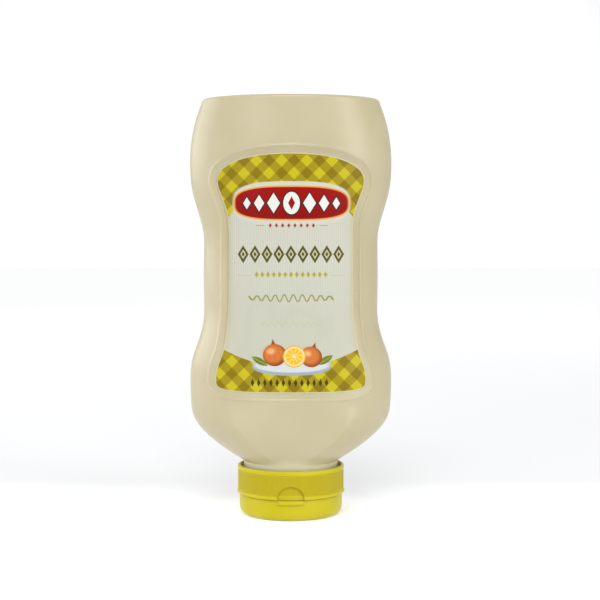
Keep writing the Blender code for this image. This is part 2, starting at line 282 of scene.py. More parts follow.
def label_outline(margin):
    """The label's closed outline as (x, z) rows, moved outwards by the margin."""
    reach = LABEL_CORNER_START - LABEL_BOTTOM
    across, along = end_curve(label_side(LABEL_CORNER_START), reach, LABEL_CORNER_POWER)
    corner = np.column_stack((across, LABEL_CORNER_START - along))[::-1]
    heights = np.linspace(LABEL_CORNER_START, LABEL_ARCH_START, 2 * OUTLINE_STEPS)
    side = np.column_stack((label_side(heights), heights))
    reach = LABEL_TOP - LABEL_ARCH_START
    across, along = end_curve(label_side(LABEL_ARCH_START), reach, LABEL_ARCH_POWER)
    arch = np.column_stack((across, LABEL_ARCH_START + along))
    right = np.vstack((corner, side, arch))
    left = right[-2:0:-1] * (-1.0, 1.0)
    loop = even_points(np.vstack((right, left)), OUTLINE_POINTS)
    run = np.roll(loop, -1, axis=0) - np.roll(loop, 1, axis=0)
    outwards = np.column_stack((run[:, 1], -run[:, 0])) / np.hypot(run[:, 0], run[:, 1])[:, None]
    return loop + margin * outwards


def even_points(points, count):
    """The closed outline again, as a number of points at even distances along it."""
    loop = np.vstack((points, points[:1]))
    along = np.concatenate(([0.0], np.cumsum(np.hypot(*np.diff(loop, axis=0).T))))
    wanted = np.linspace(0.0, along[-1], count, endpoint=False)
    return np.column_stack((np.interp(wanted, along, loop[:, 0]), np.interp(wanted, along, loop[:, 1])))


def outline_distance(x, z):
    """Distance from each point to the label's outline, negative inside it."""
    loop = label_outline(0.0)
    nearest = np.full(x.shape, np.inf)
    inside = np.zeros(x.shape, dtype=bool)
    for start, end in zip(loop, np.roll(loop, -1, axis=0)):
        run = end - start
        t = np.clip(((x - start[0]) * run[0] + (z - start[1]) * run[1]) / (run @ run), 0.0, 1.0)
        nearest = np.minimum(nearest, np.hypot(x - start[0] - t * run[0], z - start[1] - t * run[1]))
        spans = (start[1] > z) != (end[1] > z)
        if run[1] != 0.0:
            inside ^= spans & (x < start[0] + (z - start[1]) * run[0] / run[1])
    return np.where(inside, -nearest, nearest)


def smooth_share(share):
    """0 to 1 with a level start and end."""
    share = np.clip(share, 0.0, 1.0)
    return share * share * (3.0 - 2.0 * share)


def along_panel(curve, z):
    """A value of the panel at a height; it stays the same past the panel's ends."""
    return curve(np.clip(z, PANEL_DEPTH_STATIONS[0][0] * MM, PANEL_DEPTH_STATIONS[-1][0] * MM))


def recess_depth(x, z):
    """How far the wall is sunk at x and z: the panel's floor, its sloping wall and a low lip."""
    distance = outline_distance(x, z)
    wall = PANEL_RIM_MARGIN - along_panel(panel_floor, z)
    share = np.clip((PANEL_RIM_MARGIN - distance) / wall, 0.0, 1.0)
    slope = (1.0 - PANEL_SOFTNESS) * share + PANEL_SOFTNESS * smooth_share(share)
    lip = LIP_HEIGHT * np.exp(-(((distance - PANEL_RIM_MARGIN) / LIP_WIDTH) ** 2))
    return along_panel(panel_depth, z) * slope - lip


def shoulder_facet(x, z):
    """How far the shoulder's front stands out of the oval: a flatter facet with soft creased sides."""
    low = CREASE_STATIONS[0][0] * MM
    high = CREASE_STATIONS[-1][0] * MM
    crease = crease_line(np.clip(z, low, high))
    rise = sum(facet_rise(np.abs(x), z, crease + shift * CREASE_SOFTNESS) for shift in (-1.0, 0.0, 1.0)) / 3.0
    return rise * smooth_share((z - low) / FACET_FADE_LOW) * smooth_share((high - z) / FACET_FADE_HIGH)


def facet_rise(across, z, crease):
    """The facet's height at a distance from the middle; it dies away between crease and side."""
    width = half_width(z)
    inner = np.minimum(across, crease)
    flatter = np.sqrt(1.0 - (inner / FACET_WIDTH) ** 2)
    rounder = np.sqrt(np.maximum(1.0 - (inner / width) ** 2, 0.0))
    beyond = np.clip((across - crease) / (width - crease), 0.0, 1.0)
    return half_depth(z) * np.maximum(flatter - rounder, 0.0) * (1.0 - beyond) ** FACET_FALL


def seam_height(y, z):
    """The mould's parting line, a fine thread up both sides that dies away at its ends."""
    low = WIDTH_STATIONS[0][0] * MM
    high = WIDTH_STATIONS[-1][0] * MM
    fade = smooth_share(np.minimum(z - low, high - z) / SEAM_FADE)
    return SEAM_HEIGHT * fade * np.exp(-((y / SEAM_WIDTH) ** 2))


def mesh_object(name, points, faces):
    """A smooth object from points and faces, with its faces turned outwards."""
    mesh = bpy.data.meshes.new(name)
    mesh.from_pydata([tuple(point) for point in points], [], faces)
    mesh.validate()
    work = bmesh.new()
    work.from_mesh(mesh)
    bmesh.ops.recalc_face_normals(work, faces=work.faces)
    work.to_mesh(mesh)
    work.free()
    mesh.shade_smooth()
    made = bpy.data.objects.new(name, mesh)
    bpy.context.scene.collection.objects.link(made)
    return made


def ring_faces(rows, size):
    """Faces between rows of points that each close on themselves."""
    faces = []
    for row in range(rows - 1):
        for i in range(size):
            j = (i + 1) % size
            low = row * size
            high = low + size
            faces.append((low + i, low + j, high + j, high + i))
    return faces


def quarter_angles(z):
    """Angles from the front middle to the side, closest together across the recess's wall."""
    place = np.clip(z, LABEL_BOTTOM - PANEL_RIM_MARGIN, LABEL_TOP + PANEL_RIM_MARGIN)
    width = half_width(place)
    side = label_side(np.clip(place, LABEL_CORNER_START, LABEL_ARCH_START))
    inner = (side + WALL_SPAN[0]) / width
    outer = (side + WALL_SPAN[1]) / width
    floor = np.arcsin(np.linspace(0.0, inner, FLOOR_COLUMNS))
    wall = np.arcsin(np.linspace(inner, outer, WALL_COLUMNS))
    flank = np.linspace(math.asin(outer), 0.5 * math.pi - SEAM_ANGLES[0], FLANK_COLUMNS)
    seam = 0.5 * math.pi - np.array(SEAM_ANGLES[1:])
    return np.concatenate((floor, wall[1:], flank[1:], seam))


def full_turn(quarter):
    """The angles of a quarter turn mirrored to a full turn."""
    back = quarter[::-1]
    return np.concatenate((quarter, math.pi - back[1:], math.pi + quarter[1:], 2.0 * math.pi - back[1:-1]))


def skin_heights():
    """Heights of the skin's rows, closest together over the recess's rounded ends."""
    rows = []
    for low, high, step in SKIN_ROWS:
        count = round((high - low) / step)
        rows += [(low + (high - low) * i / count) * MM for i in range(count)]
    rows.append(WIDTH_STATIONS[-1][0] * MM)
    return rows


def bottle_skin():
    """The neck, the body with its recesses and shoulder, and the rounded top with its dish."""
    low = WIDTH_STATIONS[0][0] * MM
    high = WIDTH_STATIONS[-1][0] * MM
    turn = full_turn(quarter_angles(low))
    neck_rows = (NECK_VISIBLE_END, low - NECK_EDGE[0], low - NECK_EDGE[1])
    neck = [oval_ring(turn, NECK_RADIUS, NECK_RADIUS, z) for z in neck_rows]
    rows = []
    for z in skin_heights():
        turn = full_turn(quarter_angles(z))
        x = half_width(z) * np.sin(turn)
        row = np.full(x.shape, z)
        y = front_y(x, row, 0.0)
        rows.append(np.column_stack((x, np.where(np.cos(turn) > 0.0, y, -y), row)))
    body = np.vstack(rows)
    inset = recess_depth(np.abs(body[:, 0]), body[:, 2])
    sunk = front_y(body[:, 0], body[:, 2], inset) - shoulder_facet(body[:, 0], body[:, 2])
    facing = np.abs(body[:, 0]) < label_side(LABEL_CORNER_START) + 2.0 * PANEL_RIM_MARGIN
    body[:, 1] = np.where(facing, np.sign(-body[:, 1]) * sunk, body[:, 1])
    body[:, 0] += np.sign(body[:, 0]) * seam_height(body[:, 1], body[:, 2])
    size = len(turn)
    rings = neck + list(body.reshape(-1, size, 3))
    width = half_width(high)
    depth = half_depth(high)
    for i in range(1, TOP_FILLET_STEPS + 1):
        angle = 0.5 * math.pi * i / TOP_FILLET_STEPS
        inset = TOP_FILLET * (1.0 - math.cos(angle))
        rise = (HEIGHT - high) * math.sin(angle)
        rings.append(oval_ring(turn, width - inset, depth - inset, high + rise))
    for share in BASE_DISH_SHARES:
        inset = BASE_RIM + BASE_DISH_SLOPE * share
        drop = BASE_DISH_DEPTH * share * share * (3.0 - 2.0 * share)
        rings.append(oval_ring(turn, width - inset, depth - inset, HEIGHT - drop))
    inset = BASE_RIM + BASE_DISH_SLOPE
    floor = HEIGHT - BASE_DISH_DEPTH
    for share in BASE_FLAT_SHARES:
        rings.append(oval_ring(turn, (width - inset) * share, (depth - inset) * share, floor))
    points = np.vstack(rings + [[(0.0, 0.0, floor)]])
    faces = ring_faces(len(rings), size)
    last = (len(rings) - 1) * size
    faces += [(last + i, last + (i + 1) % size, len(points) - 1) for i in range(size)]
    return mesh_object("bottle_skin", points, faces)


def oval_ring(turn, width, depth, z):
    """A level oval row of points, starting at the front middle."""
    return np.column_stack((width * np.sin(turn), -depth * np.cos(turn), np.full(turn.shape, z)))


def label_film(name):
    """The front film as a curved sheet with a thin border, in front coordinates."""
    centre = 0.5 * (LABEL_BOTTOM + LABEL_TOP)
    outline = label_outline(0.0)
    middle = np.array((0.0, centre))
    rings = [middle + (outline - middle) * (i / FILM_RINGS) for i in range(1, FILM_RINGS + 1)]
    rings += [label_outline(FILM_MARGIN * share) for share in FILM_BORDER_SHARES]
    flat = np.vstack(rings + [middle[None, :]])
    inset = along_panel(panel_depth, flat[:, 1]) - FILM_THICKNESS
    points = np.column_stack((flat[:, 0], front_y(flat[:, 0], flat[:, 1], inset), flat[:, 1]))
    faces = ring_faces(len(rings), OUTLINE_POINTS)
    hub = len(points) - 1
    faces += [(hub, (i + 1) % OUTLINE_POINTS, i) for i in range(OUTLINE_POINTS)]
    film = mesh_object(name, points, faces)
    for face in film.data.polygons:
        face.material_index = 1 if min(face.vertices) >= (FILM_RINGS - 1) * OUTLINE_POINTS else 0
    for face in film.data.polygons[-OUTLINE_POINTS:]:
        face.material_index = 0
    thick = film.modifiers.new("thickness", "SOLIDIFY")
    thick.thickness = FILM_FILL * FILM_THICKNESS
    thick.offset = -1.0
    return film


def arc(centre_radius, centre_z, radius, start, end, steps):
    """Points (radius, height) along an arc between two angles in degrees."""
    points = []
    for i in range(steps + 1):
        angle = math.radians(start + (end - start) * i / steps)
        points.append((centre_radius + radius * math.cos(angle), centre_z + radius * math.sin(angle)))
    return points


def turned(name, profile, sides, ribbed=None):
    """A solid turned about the vertical axis; the profile starts and ends on the axis."""
    rings = []
    for radius, z in profile[1:-1]:
        ring = []
        for i in range(sides):
            angle = 2.0 * math.pi * i / sides
            wave = ribbed(radius, z) * math.cos(RIB_COUNT * angle) if ribbed else 0.0
            ring.append(turn_point(radius + wave, angle, z))
        rings.append(ring)
    points = [point for ring in rings for point in ring]
    faces = ring_faces(len(rings), sides)
    faces.append(tuple(reversed(range(sides))))
    faces.append(tuple(range(len(points) - sides, len(points))))
    return mesh_object(name, points, faces)


def turn_point(radius, angle, z):
    """A point at an angle about the vertical axis, counted from the front."""
    return (radius * math.sin(angle), -radius * math.cos(angle), z)


def prism(name, low_loop, high_loop):
    """A closed block between two loops of equal length."""
    size = len(low_loop)
    faces = ring_faces(2, size)
    faces.append(tuple(reversed(range(size))))
    faces.append(tuple(range(size, 2 * size)))
    return mesh_object(name, list(low_loop) + list(high_loop), faces)


def sector_block(name, side, radius, half, inner, low, high):
    """A block with a curved outer face at the front (side -1) or back (side 1)."""
    reach = math.asin(half / radius)
    outline = [(-half, side * inner)]
    for i in range(BLOCK_STEPS + 1):
        angle = -reach + 2.0 * reach * i / BLOCK_STEPS
        outline.append((radius * math.sin(angle), side * radius * math.cos(angle)))
    outline.append((half, side * inner))
    return prism(name, [(x, y, low) for x, y in outline], [(x, y, high) for x, y in outline])


def scoop_cutter():
    """A disc on edge, centred on the parting line, whose floor is curved like the skirt."""
    loops = []
    for y in (SCOOP_START, -FLANGE_RADIUS - MM):
        loop = []
        for i in range(SCOOP_SIDES):
            angle = 2.0 * math.pi * i / SCOOP_SIDES
            z = SKIRT_BOTTOM + SCOOP_RADIUS * math.sin(angle)
            loop.append((SCOOP_RADIUS * math.cos(angle), y, z))
        loops.append(loop)
    disc = prism("scoop_cutter", loops[0], loops[1])
    low = SKIRT_BOTTOM - 2.0 * SCOOP_RADIUS
    high = SKIRT_BOTTOM + 2.0 * SCOOP_RADIUS
    profile = [(0.0, low), (SCOOP_FLOOR_RADIUS, low), (SCOOP_FLOOR_RADIUS, high), (0.0, high)]
    return combined(disc, [turned("scoop_floor", profile, LID_SIDES)], "DIFFERENCE")


def rounded(item, edge):
    """Round a block's sharp edges before it is cut or joined."""
    bevel = item.modifiers.new("edges", "BEVEL")
    bevel.width = edge
    bevel.segments = EDGE_SEGMENTS
    bevel.limit_method = "ANGLE"
    bevel.angle_limit = EDGE_ANGLE
    return item


def combined(target, others, operation):
    """The target with others cut from it or joined to it, shaded with its sharp edges kept."""
    for other in others:
        change = target.modifiers.new(other.name, "BOOLEAN")
        change.operation = operation
        change.solver = "EXACT"
        change.object = other
    graph = bpy.context.evaluated_depsgraph_get()
    mesh = bpy.data.meshes.new_from_object(target.evaluated_get(graph))
    target.modifiers.clear()
    target.data = mesh
    mesh.shade_smooth()
    mesh.set_sharp_from_angle(angle=SHARP_ANGLE)
    for other in others:
        bpy.data.objects.remove(other, do_unlink=True)
    return target


def rib_height(radius, z):
    """Ribs only on the straight wall between the flange and the rim band."""
    wall = abs(radius - SKIRT_RADIUS) < 0.01 * MM
    return RIB_HEIGHT if wall and RIB_START <= z <= RIB_END else 0.0


def cap_skirt():
    """The skirt from its underside up: flange, groove, ribbed wall, groove, rim band and hollow."""
    band_low = SKIRT_TOP - RIM_BAND_HEIGHT
    flange_top = SKIRT_BOTTOM + FLANGE_HEIGHT
    bead = FLANGE_BEAD
    profile = [(0.0, SKIRT_BOTTOM), (SKIRT_RADIUS - SKIRT_FLOOR_INSET, SKIRT_BOTTOM)]
    profile += arc(FLANGE_RADIUS - bead, SKIRT_BOTTOM + bead, bead, -90.0, 0.0, 8)
    profile += arc(FLANGE_RADIUS - bead, flange_top - bead, bead, 0.0, 62.0, 7)
    profile += [
        (SKIRT_RADIUS - GROOVE, flange_top + GROOVE_LOW[0]),
        (SKIRT_RADIUS - GROOVE, flange_top + GROOVE_LOW[1]),
        (SKIRT_RADIUS, flange_top + GROOVE_LOW[2]),
        (SKIRT_RADIUS, RIB_START - RIB_ENDS[0]),
        (SKIRT_RADIUS, RIB_START + RIB_ENDS[0]),
        (SKIRT_RADIUS, RIB_END - RIB_ENDS[0]),
        (SKIRT_RADIUS, RIB_END + RIB_ENDS[1]),
        (SKIRT_RADIUS - GROOVE, band_low + GROOVE_HIGH[0]),
        (SKIRT_RADIUS, band_low + GROOVE_HIGH[1]),
    ]
    profile += arc(RIM_BAND_RADIUS - BAND_ROUND, band_low + BAND_ROUND_RISE, BAND_ROUND, -60.0, 0.0, 4)
    profile += arc(RIM_BAND_RADIUS - RIM_ROUND, SKIRT_TOP - RIM_ROUND, RIM_ROUND, 0.0, 90.0, 10)
    profile += arc(RIM_INNER_RADIUS + RIM_INNER_ROUND, SKIRT_TOP - RIM_INNER_ROUND, RIM_INNER_ROUND,
                   90.0, 180.0, 6)
    profile.append((RIM_INNER_RADIUS, SKIRT_TOP - RIM_INNER_DEPTH))
    profile.append((NECK_RADIUS + NECK_GAP, SKIRT_TOP - RIM_INNER_DEPTH))
    profile.append((0.0, SKIRT_TOP - RIM_INNER_DEPTH))
    skirt = turned("skirt_fine", profile, RIB_COUNT * RIB_SAMPLES, rib_height)
    notch = sector_block("strap_notch", 1.0, FLANGE_RADIUS + MM, STRAP_HALF_WIDTH + NOTCH_GAP,
                         STRAP_INNER - NOTCH_GAP, SKIRT_BOTTOM - MM, SKIRT_BOTTOM + STRAP_RISE + NOTCH_GAP)
    return combined(skirt, [scoop_cutter(), notch], "DIFFERENCE")


def flip_lid():
    """The lid with rounded edges, the tab in front and the hinge strap at the back."""
    profile = [(0.0, 0.0)]
    profile += arc(LID_RADIUS - LID_BOTTOM_FILLET, LID_BOTTOM_FILLET, LID_BOTTOM_FILLET, -90.0, 0.0, 20)
    profile += arc(LID_RADIUS - LID_TOP_FILLET, LID_TOP - LID_TOP_FILLET, LID_TOP_FILLET, 0.0, 90.0, 5)
    profile.append((0.0, LID_TOP))
    lid = turned("lid_fine", profile, LID_SIDES)
    tab = sector_block("lid_tab", -1.0, FLANGE_RADIUS, TAB_HALF_WIDTH, TAB_INNER,
                       LID_TOP - TAB_HEIGHT, LID_TOP)
    strap = sector_block("lid_strap", 1.0, FLANGE_RADIUS, STRAP_HALF_WIDTH, STRAP_INNER,
                         LID_TOP - STRAP_DROP, SKIRT_BOTTOM + STRAP_RISE)
    return combined(lid, [rounded(tab, BLOCK_ROUND), rounded(strap, BLOCK_ROUND)], "UNION")


class Field:
    """A number that varies over a surface; sums and products of it become maths nodes."""

    def __init__(self, shade, socket):
        self.shade = shade
        self.socket = socket

    def made(self, operation, *values):
        return Field(self.shade, self.shade.maths(operation, self, *values))

    def __add__(self, other):
        return self.made("ADD", other)

    def __sub__(self, other):
        return self.made("SUBTRACT", other)

    def __mul__(self, other):
        return self.made("MULTIPLY", other)

    def __truediv__(self, other):
        return self.made("DIVIDE", other)

    def __abs__(self):
        return self.made("ABSOLUTE")

    def to_power(self, power):
        return self.made("POWER", power)

    def least(self, other):
        return self.made("MINIMUM", other)

    def most(self, other):
        return self.made("MAXIMUM", other)

    def sine(self, period):
        return (self * (2.0 * math.pi / period)).made("SINE")

    def cosine(self, period):
        return (self * (2.0 * math.pi / period)).made("COSINE")


class Shader:
    """A material's node tree, with short calls for the nodes used here."""

    def __init__(self, name):
        self.material = bpy.data.materials.new(name)
        self.material.use_nodes = True
        self.tree = self.material.node_tree
        self.surface = self.tree.nodes["Principled BSDF"]

    def node(self, kind, **settings):
        made = self.tree.nodes.new(kind)
        for key, value in settings.items():
            setattr(made, key, value)
        return made

    def plug(self, socket, value):
        if isinstance(value, Field):
            value = value.socket
        if isinstance(value, bpy.types.NodeSocket):
            self.tree.links.new(value, socket)
        else:
            socket.default_value = value

    def maths(self, operation, *values):
        made = self.node("ShaderNodeMath", operation=operation)
        for socket, value in zip(made.inputs, values):
            self.plug(socket, value)
        return made.outputs[0]

    def mix(self, share, first, second):
        made = self.node("ShaderNodeMix", data_type="RGBA")
        self.plug(made.inputs["Factor"], share)
        self.plug(made.inputs[6], first)
        self.plug(made.inputs[7], second)
        return made.outputs[2]

    def place(self):
        """X, Y and Z in millimetres, in the piece's own coordinates."""
        coordinates = self.node("ShaderNodeTexCoord")
        scaled = self.node("ShaderNodeVectorMath", operation="SCALE")
        self.plug(scaled.inputs[0], coordinates.outputs["Object"])
        scaled.inputs["Scale"].default_value = 1.0 / MM
        split = self.node("ShaderNodeSeparateXYZ")
        self.plug(split.inputs[0], scaled.outputs[0])
        return [Field(self, output) for output in split.outputs]

    def noise(self, scale, detail=2.0):
        """Noise at so many lumps a metre."""
        coordinates = self.node("ShaderNodeTexCoord")
        made = self.node("ShaderNodeTexNoise")
        self.plug(made.inputs["Vector"], coordinates.outputs["Object"])
        made.inputs["Scale"].default_value = scale
        made.inputs["Detail"].default_value = detail
        return Field(self, made.outputs[0])

    def step(self, value, start, end):
        """0 before start and 1 after end, with a smooth rise between them."""
        made = self.node("ShaderNodeMapRange", interpolation_type="SMOOTHSTEP")
        self.plug(made.inputs["Value"], value)
        self.plug(made.inputs["From Min"], start)
        self.plug(made.inputs["From Max"], end)
        return Field(self, made.outputs[0])

    def bump(self, height, distance, strength=1.0):
        made = self.node("ShaderNodeBump")
        made.inputs["Strength"].default_value = strength
        made.inputs["Distance"].default_value = distance
        self.plug(made.inputs["Height"], height)
        self.tree.links.new(made.outputs[0], self.surface.inputs["Normal"])


def linear(red, green, blue):
    """A screen colour from 0 to 255 as a linear colour."""
    values = []
    for value in (red, green, blue):
        share = value / 255.0
        values.append(share / 12.92 if share <= 0.04045 else ((share + 0.055) / 1.055) ** 2.4)
    return (*values, 1.0)


def grey(level):
    """A linear grey as a colour."""
    return (level, level, level, 1.0)


CLOUDS = (0.35, 0.7)
CREAM_DARK = linear(181, 171, 136)
CREAM_LIGHT = linear(186, 176, 143)
# Paler cream for the neck: partly its own tone, partly painted light.
CREAM_NECK_PALE_AND_LIT = linear(197, 188, 155)
BORDER_DARK = linear(191, 182, 150)
BORDER_LIGHT = linear(195, 187, 157)
YELLOW_DARK = linear(186, 174, 24)
YELLOW_LIGHT = linear(191, 179, 38)
# Darker yellow for the ribbed wall: painted shade.
YELLOW_RIBS_SHADE = linear(174, 159, 20)
RIB_SHADE_LOW = (-0.5, -0.1)
RIB_SHADE_HIGH = (0.4, 0.0)

# The label's print.
SOFT_EDGE = 0.08
STRIPE_PITCH = 0.83
CHECK_PLACE = (1.27, 130.6)
CHECK_PITCH = 9.37
TWILL_PITCH = 0.9
PLAQUE_PLACE = (0.3, 119.5)
PLAQUE_HALF = (21.7, 6.5)
PLAQUE_POWER = 3.0
PLAQUE_HALO = (0.3, 1.6)
PLAQUE_RIM = 0.55
PLAQUE_LOZENGES = ((6.7, 1.0), (12.1, 0.84), (16.7, 0.66))
PLAQUE_LOZENGE_HALF = (2.9, 4.6)
PLAQUE_OVAL_HALF = (3.5, 4.7)
PLAQUE_CENTRE_HALF = (1.3, 2.5)
INK_WIDTH = 0.42
GROUND_DARK = linear(184, 184, 169)
GROUND_LIGHT = linear(193, 193, 180)
GROUND_LOW = linear(180, 180, 162)
GROUND_SIDE = linear(186, 180, 150)
# Painted shade for creases in the film.
CREASE_SHADE = linear(160, 160, 146)
CHECK_LIGHT = linear(189, 177, 28)
CHECK_MIDDLE = linear(154, 137, 20)
CHECK_DARK = linear(128, 108, 12)
GILT = linear(214, 150, 62)
RED_DARK = linear(134, 4, 2)
RED_LIGHT = linear(147, 7, 4)
RED_SMALL = linear(156, 44, 44)
INK = linear(40, 30, 28)
WHITE_INK = linear(216, 215, 208)
OLIVE_DARK = linear(84, 78, 4)
OLIVE_YELLOW = linear(160, 152, 44)
OLIVE_SOFT = linear(138, 132, 62)
GREEN_PALE = linear(176, 183, 142)
TAN = linear(190, 162, 104)
BROWN_DARK = linear(66, 58, 12)
PLATE_DARK = linear(150, 160, 168)
PLATE_LIGHT = linear(196, 200, 200)
LEAF = linear(104, 118, 34)
LEAF_LIGHT = linear(150, 158, 70)
ONION_DARK = linear(140, 70, 26)
ONION = linear(196, 112, 52)
ONION_LIGHT = linear(222, 168, 116)
LEMON_RIND = linear(206, 168, 10)
LEMON = linear(222, 176, 26)
PITH = linear(212, 206, 170)
LEMON_SPOKES = 5

# Rows of lozenges: middle, count, pitch, half size, colour and soft edge.
LOZENGE_ROWS = (
    ((0.4, 111.2), 8, 2.3, (0.62, 0.85), RED_SMALL, 0.12),
    ((0.05, 100.5), 9, 4.48, (0.62, 1.0), OLIVE_DARK, 0.1),
    ((0.1, 92.9), 13, 2.15, (0.72, 1.15), OLIVE_YELLOW, 0.12),
    ((-0.5, 52.6), 13, 2.3, (0.68, 1.55), BROWN_DARK, 0.1),
)
RING_ROW = ((0.05, 100.5), 9, 4.48, (2.12, 3.45))
RING_INSET = 0.46
RING_HALF = 0.42
# Pairs of rules: height, middle, inner and outer end, thickness, colour and strength.
RULES = (
    (111.2, 0.4, 10.3, 13.4, 0.28, RED_SMALL, 0.55),
    (92.6, 0.1, 14.9, 20.3, 0.26, TAN, 0.7),
)
# Ripples: height, middle, reach, rise, period, thickness, colour, soft edge and strength.
RIPPLES = (
    (84.1, 0.1, 16.0, 1.25, 3.4, 0.46, OLIVE_SOFT, 0.14, 0.95),
    (74.4, 0.1, 11.4, 0.95, 2.7, 0.42, GREEN_PALE, 0.18, 0.8),
)


def cream_plastic():
    """Satin cream plastic, slightly cloudy, and paler at the neck: partly the neck's own tone and partly
    painted light that lifts the shade under the overhanging shoulder.
    """
    shade = Shader("cream_plastic")
    _, _, z = shade.place()
    cloudy = shade.mix(shade.step(shade.noise(45.0), *CLOUDS), CREAM_DARK, CREAM_LIGHT)
    # Painted light: lighter cream from the shoulder's foot down, lifting the shade where the shoulder
    # overhangs the neck.
    neck = shade.step(z, NECK_PALE_AND_LIT[1], NECK_PALE_AND_LIT[0])
    shade.plug(shade.surface.inputs["Base Color"], shade.mix(neck, cloudy, CREAM_NECK_PALE_AND_LIT))
    shade.surface.inputs["Roughness"].default_value = 0.36
    shade.surface.inputs["Specular IOR Level"].default_value = 0.7
    shade.surface.inputs["Subsurface Weight"].default_value = 0.25
    shade.surface.inputs["Subsurface Radius"].default_value = (0.004, 0.003, 0.002)
    shade.surface.inputs["Subsurface Scale"].default_value = 1.0
    shade.bump(shade.noise(900.0), 0.02 * MM, 0.35)
    return shade.material


def yellow_plastic(name, dark, light, ribbed):
    """Yellow plastic; on the ribbed piece the wall between the flange and the rim band is painted darker, a
    painted shade for the shade between the fine ribs.
    """
    shade = Shader(name)
    colour = shade.mix(shade.step(shade.noise(60.0), *CLOUDS), dark, light)
    if ribbed:
        _, _, z = shade.place()
        # Painted shade over the ribbed wall, fading in at its ends.
        above = shade.step(z, RIB_START / MM + RIB_SHADE_LOW[0], RIB_START / MM + RIB_SHADE_LOW[1])
        below = shade.step(z, RIB_END / MM + RIB_SHADE_HIGH[0], RIB_END / MM + RIB_SHADE_HIGH[1])
        colour = shade.mix(above * below, colour, YELLOW_RIBS_SHADE)
    shade.plug(shade.surface.inputs["Base Color"], colour)
    shade.surface.inputs["Roughness"].default_value = 0.34
    shade.surface.inputs["Specular IOR Level"].default_value = 0.15
    shade.surface.inputs["Subsurface Weight"].default_value = 0.15
    shade.surface.inputs["Subsurface Radius"].default_value = (0.003, 0.002, 0.0005)
    shade.surface.inputs["Subsurface Scale"].default_value = 1.0
    shade.bump(shade.noise(1200.0), 0.01 * MM, 0.3)
    return shade.material


def film_border():
    """The bare film round the print."""
    shade = Shader("film_border")
    shade.plug(shade.surface.inputs["Base Color"], shade.mix(shade.noise(300.0), BORDER_DARK, BORDER_LIGHT))
    shade.surface.inputs["Roughness"].default_value = 0.32
    return shade.material


class Print:
    """The label's print in millimetres across (x) and up (z), painted layer on layer."""

    def __init__(self, shade):
        self.shade = shade
        self.x, _, self.z = shade.place()
        self.colour = None

    def paint(self, distance, colour, soft=SOFT_EDGE, strength=1.0):
        """Lay a colour where the distance is negative."""
        share = self.shade.step(distance, soft, -soft) * strength
        self.colour = self.shade.mix(share, self.colour, colour)

    def oval(self, centre, half, power=2.0, turn=0.0):
        """Distance to an oval; higher powers make it squarer."""
        u, v = self.turned(centre, turn)
        reach = (abs(u / half[0]).to_power(power) + abs(v / half[1]).to_power(power)).to_power(1.0 / power)
        return (reach - 1.0) * min(half)

    def turned(self, centre, turn):
        """Coordinates about a centre, turned by an angle in degrees."""
        across = self.x - centre[0]
        up = self.z - centre[1]
        cosine = math.cos(math.radians(turn))
        sine = math.sin(math.radians(turn))
        return across * cosine + up * sine, up * cosine - across * sine

    def lozenges(self, middle, count, pitch, half):
        """Distance to a row of upright lozenges with a common middle."""
        first = middle[0] - 0.5 * (count - 1) * pitch
        step = ((self.x - first) / pitch).made("ROUND").most(0.0).least(count - 1.0)
        across = abs(self.x - first - step * pitch)
        up = abs(self.z - middle[1])
        return (across / half[0] + up / half[1] - 1.0) * (half[0] * half[1] / math.hypot(*half))

    def rules(self, height, centre, inner, outer, thickness):
        """Distance to a pair of thin level lines either side of the centre."""
        across = abs(abs(self.x - centre) - 0.5 * (inner + outer)) - 0.5 * (outer - inner)
        return across.most(abs(self.z - height) - 0.5 * thickness)

    def ripple(self, height, centre, reach, rise, period, thickness):
        """Distance to a level wavy line that dies away towards its ends."""
        across = self.x - centre
        fade = (across / reach) * (across / reach) * -0.6 + 1.0
        slope = across.cosine(period) * (rise * 2.0 * math.pi / period)
        off = abs(self.z - height - across.sine(period) * fade * rise)
        narrow = off / (slope * slope + 1.0).to_power(0.5) - 0.5 * thickness
        return narrow.most(abs(across) - reach)


def film_print():
    """The printed film, painted from the ground up."""
    shade = Shader("film_print")
    label = Print(shade)
    paint_ground(label)
    paint_checks(label)
    paint_plaque(label)
    paint_rows(label)
    paint_still_life(label)
    shade.plug(shade.surface.inputs["Base Color"], label.colour)
    shade.surface.inputs["Roughness"].default_value = 0.34
    shade.surface.inputs["Specular IOR Level"].default_value = 0.14
    return shade.material


def paint_ground(label):
    """The pale middle with fine upright stripes and painted shade along fine creases, fading to cream at its
    sides.
    """
    shade = label.shade
    stripes = shade.mix(shade.step(label.x.cosine(STRIPE_PITCH), -1.0, 1.0), GROUND_DARK, GROUND_LIGHT)
    label.colour = shade.mix(shade.step(shade.noise(110.0), 0.35, 0.75) * 0.25, stripes, GROUND_DARK)
    label.colour = shade.mix(shade.step(label.z, 100.0, 70.0) * 0.55, label.colour, GROUND_LOW)
    # Painted shade: thin darker wisps along creases in the film, which the film's surface does not have.
    crease = shade.step(abs(shade.noise(40.0, 1.0) - 0.5), 0.05, 0.0) * shade.step(label.z, 92.0, 80.0)
    label.colour = shade.mix(crease * 0.10, label.colour, CREASE_SHADE)
    below = (label.z * -1.0 + 84.0).most(0.0)
    inside = below * below * 0.004 + 22.5 - abs(label.x)
    label.paint(inside, GROUND_SIDE, 0.8)


